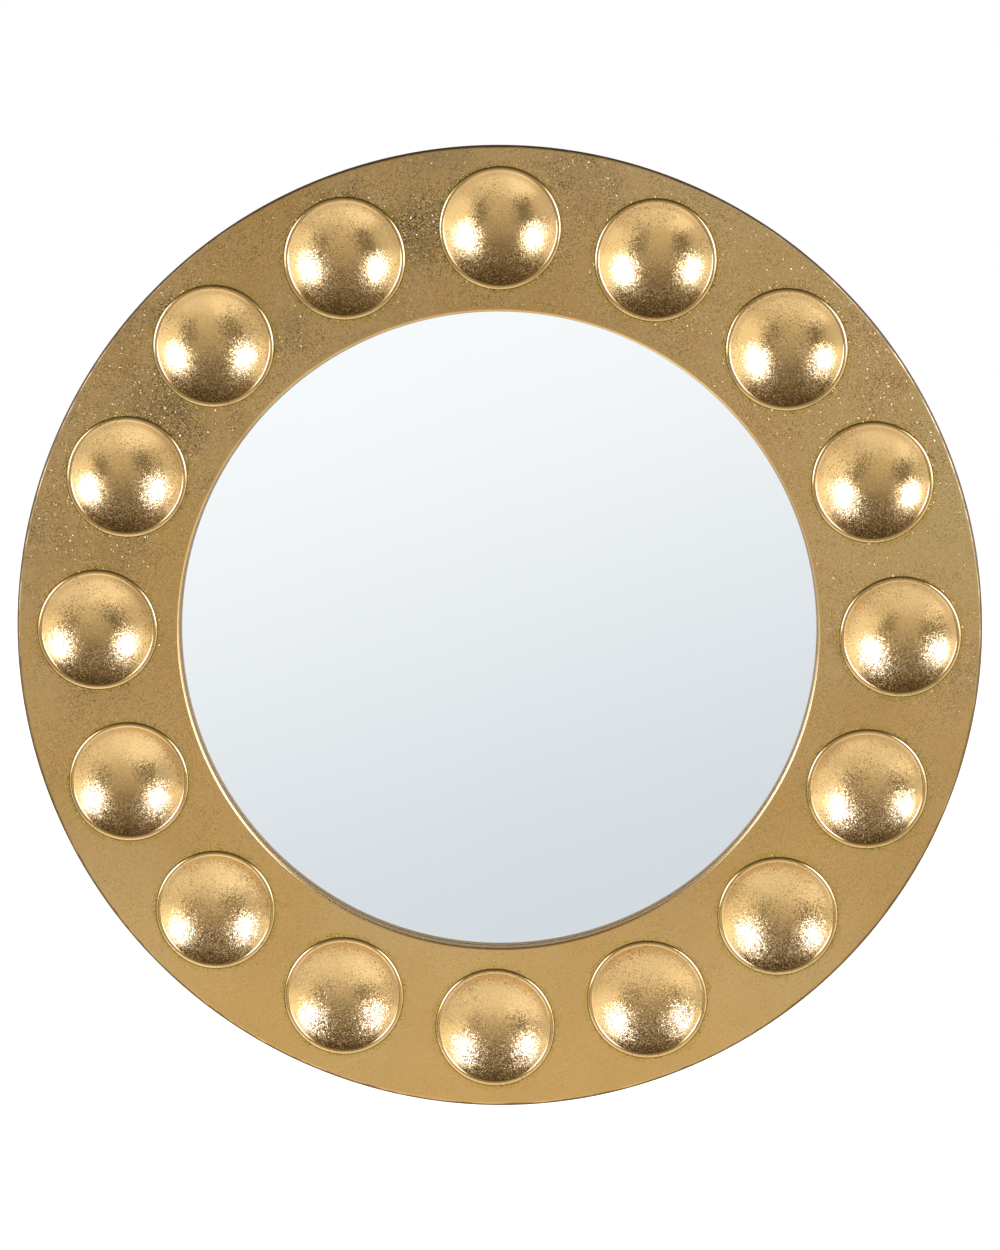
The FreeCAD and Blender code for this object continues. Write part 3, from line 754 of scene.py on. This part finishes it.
def lit_floor(f):
    """How bright the floor looks in the gold: pale near the mirror, dimmer far off and behind the stands."""
    place = f.split(f.coords())
    distance = f.length(f.join(x=place["X"], y=place["Y"]))
    bearing = f.math("ARCTAN2", place["X"], f.times(place["Y"], -1.0))
    far = f.ease(distance, 1.3, 2.3)
    pool = f.times(f.fade(f.size(f.less(bearing, LEFT_POOL_BEARING)), 0.25, 0.75),
                   f.fade(f.size(f.less(distance, LEFT_POOL_DISTANCE)), 0.2, 0.95))
    glow = f.blend(pool, f.ramp(distance, FLOOR_GLOW), LEFT_POOL)
    for middle, full, gone, level in LAMP_STANDS:
        stand = f.times(f.fade(f.size(f.less(bearing, middle)), full, gone), far)
        glow = f.blend(stand, glow, tuple(level * share for share in FLOOR_PLAIN))
    glow = f.blend(f.times(f.ease(bearing, 0.60, 0.80), far), glow, FAR_RIGHT)
    return f.blend(f.times(f.fade(bearing, -1.2, -0.9), far), glow, FAR_LEFT)


FLOOR_WHITE = (0.86, 0.86, 0.86, 1)


def pale_floor():
    """White studio floor that keeps the mirror's shadow, with its own look in reflections."""
    material, f = new_finish("pale_floor")
    path = f.path()
    reflected = f.most(path["Is Glossy Ray"], path["Is Transmission Ray"])
    whiter_far_off = f.ease(f.length(f.coords()), 1.2, 3.2, 0.65, 1.0)
    plain = f.add("ShaderNodeAddShader")
    f.put(plain.inputs[0], f.add("ShaderNodeBsdfDiffuse", Color=FLOOR_WHITE).outputs[0])
    f.put(plain.inputs[1], f.glow((*WHITE, 1), f.times(path["Is Camera Ray"], whiter_far_off)))
    f.show(f.either(reflected, plain.outputs[0], f.glow(lit_floor(f))))
    return material


CARD_BELOW, CARD_ABOVE = (0.70, 0.735, 0.77), (0.99, 0.995, 1.0)
CARD_TILT = -0.35


def pale_card():
    """Pale card behind the camera, white above and cool grey below, that shows in the sharp mirror alone."""
    material, f = new_finish("pale_card")
    place = f.split(f.coords())
    slope = f.plus(place["Z"], f.times(place["X"], CARD_TILT))
    tone = f.blend(f.ease(slope, -0.95, 0.45), CARD_BELOW, CARD_ABOVE)
    f.show(f.glow_or_clear(first_mirrored(f), f.glow(tone)))
    return material


plane("studio_floor", [(FLOOR_REACH * x, FLOOR_REACH * y, FLOOR_Z) for x, y in CORNERS], pale_floor())
card_corners = [(CARD_LEFT, CARD_Y, CARD_LOW), (CARD_RIGHT, CARD_Y, CARD_LOW),
                (CARD_RIGHT, CARD_Y, CARD_HIGH), (CARD_LEFT, CARD_Y, CARD_HIGH)]
reflected_only(plane("studio_card", card_corners, pale_card()))

# The room as the gold shows it: height of the direction, level and tint
ROOM_PLAIN, ROOM_WARM, ROOM_DEEP = (1.0, 0.97, 0.93), (1.0, 0.92, 0.82), (1.0, 0.85, 0.64)
ROOM_GLOW = (
    (0.0, 0.44, ROOM_PLAIN),
    (0.17, 0.36, ROOM_PLAIN),
    (0.34, 0.27, ROOM_WARM),
    (0.5, 0.24, ROOM_WARM),
    (0.64, 0.22, ROOM_WARM),
    (0.77, 0.18, ROOM_DEEP),
    (0.87, 0.12, ROOM_DEEP),
    (1.0, 0.075, ROOM_DEEP),
)
LEFT_WALL, RIGHT_WALL = (1.04, 1.03, 1.03), (1.32, 1.31, 1.32)
ROOM_BEHIND = (0.30, 0.29, 0.28)
PALE_BELOW, PALE_ABOVE = (0.74, 0.77, 0.80), (0.97, 0.98, 0.99)
HALO_OUTER_COS, HALO_INNER_COS = math.cos(math.radians(28)), math.cos(math.radians(12))
HALO_STRENGTH = 0.72


def studio_world():
    """White to the camera; in reflections a studio with a dim ceiling, pale side walls and glowing lamps."""
    world = bpy.data.worlds.new("studio")
    f = Finish(world)
    way = f.add("ShaderNodeTexCoord").outputs["Generated"]
    place = f.split(way)
    right = f.ease(place["X"], -0.1, 0.1)
    wall_top = f.spread(right, 0.0, 1.0, 0.72, 0.92)
    walls = f.times(f.ease(f.size(place["X"]), 0.66, 0.90), f.fade(place["Z"], 0.48, wall_top))
    room = f.blend(walls, f.ramp(place["Z"], ROOM_GLOW), f.blend(right, LEFT_WALL, RIGHT_WALL))
    for box in SOFTBOXES:
        nearness = f.along(way, towards(box.azimuth, box.elevation))
        room = f.blend(f.ease(nearness, HALO_OUTER_COS, HALO_INNER_COS, 0.0, HALO_STRENGTH), room, WHITE)
    room = f.blend(f.ease(place["Y"], 0.0, 0.35), room, ROOM_BEHIND)
    pale = f.blend(f.ease(place["Z"], -0.2, 0.5), PALE_BELOW, PALE_ABOVE)
    room = f.blend(first_mirrored(f), room, pale)
    shown = f.blend(f.path()["Is Camera Ray"], room, WHITE)
    ground = f.add("ShaderNodeBackground", Color=shown, Strength=1.0)
    f.add("ShaderNodeOutputWorld", Surface=ground.outputs[0])
    return world


def soft_light(name, direction, distance, width, height, radiance):
    """Oval softbox, placed by its direction from the mirror, with its power from its radiance."""
    data = bpy.data.lights.new(name, "AREA")
    data.shape = "ELLIPSE"
    data.size = width
    data.size_y = height
    data.energy = radiance * math.pi * (math.pi / 4 * width * height)
    lamp = bpy.data.objects.new(name, data)
    lamp.location = direction * distance
    lamp.rotation_euler = direction.to_track_quat("Z", "Y").to_euler()
    lamp.visible_camera = False
    lamp.visible_glossy = False
    bpy.context.scene.collection.objects.link(lamp)


# A softbox's front: distance from its middle in half widths, level and colour
SOFTBOX_SOLID, SOFTBOX_EDGE = 0.92, 1.40
SOFTBOX_GLOW = (
    (0.0, 1.0, (2.9, 4.2, 10.5)),
    (0.48, 1.0, (2.9, 4.1, 9.8)),
    (0.76, 1.0, (2.8, 3.6, 6.4)),
    (1.02, 1.0, (2.4, 2.6, 3.3)),
    (SOFTBOX_EDGE, 1.0, (1.4, 1.4, 1.5)),
)


def softbox_front(name, centre, width, height):
    """The front of a softbox, as the gold shows it: cool and bright in the middle, soft towards its edge."""
    material, f = new_finish(name)
    turn = centre.to_track_quat("Z", "Y")
    across, upward = turn @ Vector((1, 0, 0)), turn @ Vector((0, 1, 0))
    offset = f.vector("SUBTRACT", f.coords(), centre)
    shares = [f.along(offset, axis / (size / 2)) for axis, size in ((across, width), (upward, height))]
    from_middle = f.length(f.join(*shares))
    solid = f.times(f.fade(from_middle, SOFTBOX_SOLID, SOFTBOX_EDGE), f.less(1.0, first_mirrored(f)))
    f.show(f.glow_or_clear(solid, f.glow(f.ramp(from_middle, SOFTBOX_GLOW))))
    half_across, half_up = across * (width / 2 * SOFTBOX_EDGE), upward * (height / 2 * SOFTBOX_EDGE)
    corners = [centre + half_across * x + half_up * y for x, y in CORNERS]
    reflected_only(plane(name, corners, material))


def turned_about(axis, degrees):
    return Matrix.Rotation(math.radians(degrees), 3, axis)


scene = bpy.context.scene
scene.world = studio_world()
for box in SOFTBOXES:
    way = towards(box.azimuth, box.elevation)
    soft_light(f"softbox_{box.side}", way, box.distance, box.width, box.height, SOFTBOX_RADIANCE)
    softbox_front(f"softbox_front_{box.side}", way * box.distance, box.width, box.height)
soft_light("back_fill", towards(FILL_AZIMUTH, FILL_ELEVATION), FILL_DISTANCE,
           FILL_WIDTH, FILL_HEIGHT, FILL_RADIANCE)

camera_data = bpy.data.cameras.new("camera")
camera_data.sensor_fit = "VERTICAL"
camera_data.sensor_height = SENSOR_HEIGHT
camera_data.lens = SENSOR_HEIGHT * FOCAL_PIXELS / PHOTO_HEIGHT_PIXELS
camera_data.clip_end = CLIP_END
camera = bpy.data.objects.new("camera", camera_data)
turn = turned_about("Z", CAMERA_SWING) @ turned_about("X", CAMERA_DIP) @ turned_about("Y", CAMERA_ROLL)
camera.matrix_world = Matrix.Translation(CAMERA_PLACE) @ (turn @ turned_about("X", 90)).to_4x4()
scene.collection.objects.link(camera)
scene.camera = camera
scene.view_settings.view_transform = "Standard"
